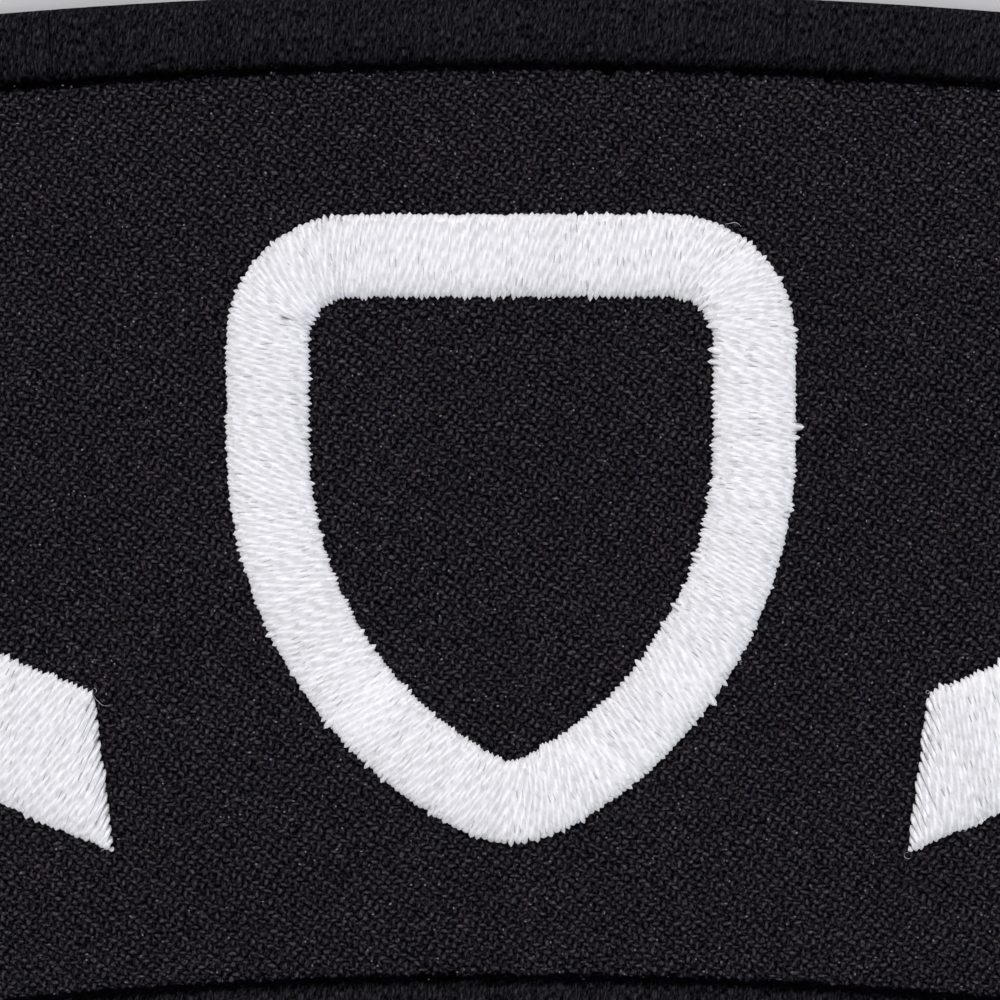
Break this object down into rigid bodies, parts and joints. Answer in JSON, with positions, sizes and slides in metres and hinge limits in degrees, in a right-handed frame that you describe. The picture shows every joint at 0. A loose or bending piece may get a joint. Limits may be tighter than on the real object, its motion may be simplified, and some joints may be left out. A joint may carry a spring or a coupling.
{
  "type": "rocker patch",
  "caption": "Arched black twill patch with a satin-stitched border and raised white satin figures, to sew or press on to cloth.",
  "frame": {"origin": "middle of the patch's box, on the flat back that is sewn down", "axes": "+X along the width of the arch, +Y towards the top of the arch, +Z out of the face"},
  "size_m": [0.2998, 0.0888, 0.0021],
  "materials": {
    "twill": "matt black polyester twill",
    "black_satin": "black satin stitch with a soft sheen",
    "white_satin": "white satin stitch with a silky sheen"
  },
  "bodies": {
    "root": {"twill_ground": "twill", "border": "black_satin", "shield_centre": "white_satin", "shield_left": "white_satin", "shield_right": "white_satin", "chevron_left": "white_satin", "chevron_right": "white_satin", "star_left": "white_satin", "star_right": "white_satin", "end_star_left": "white_satin", "end_star_right": "white_satin"}
  },
  "joints": []
}
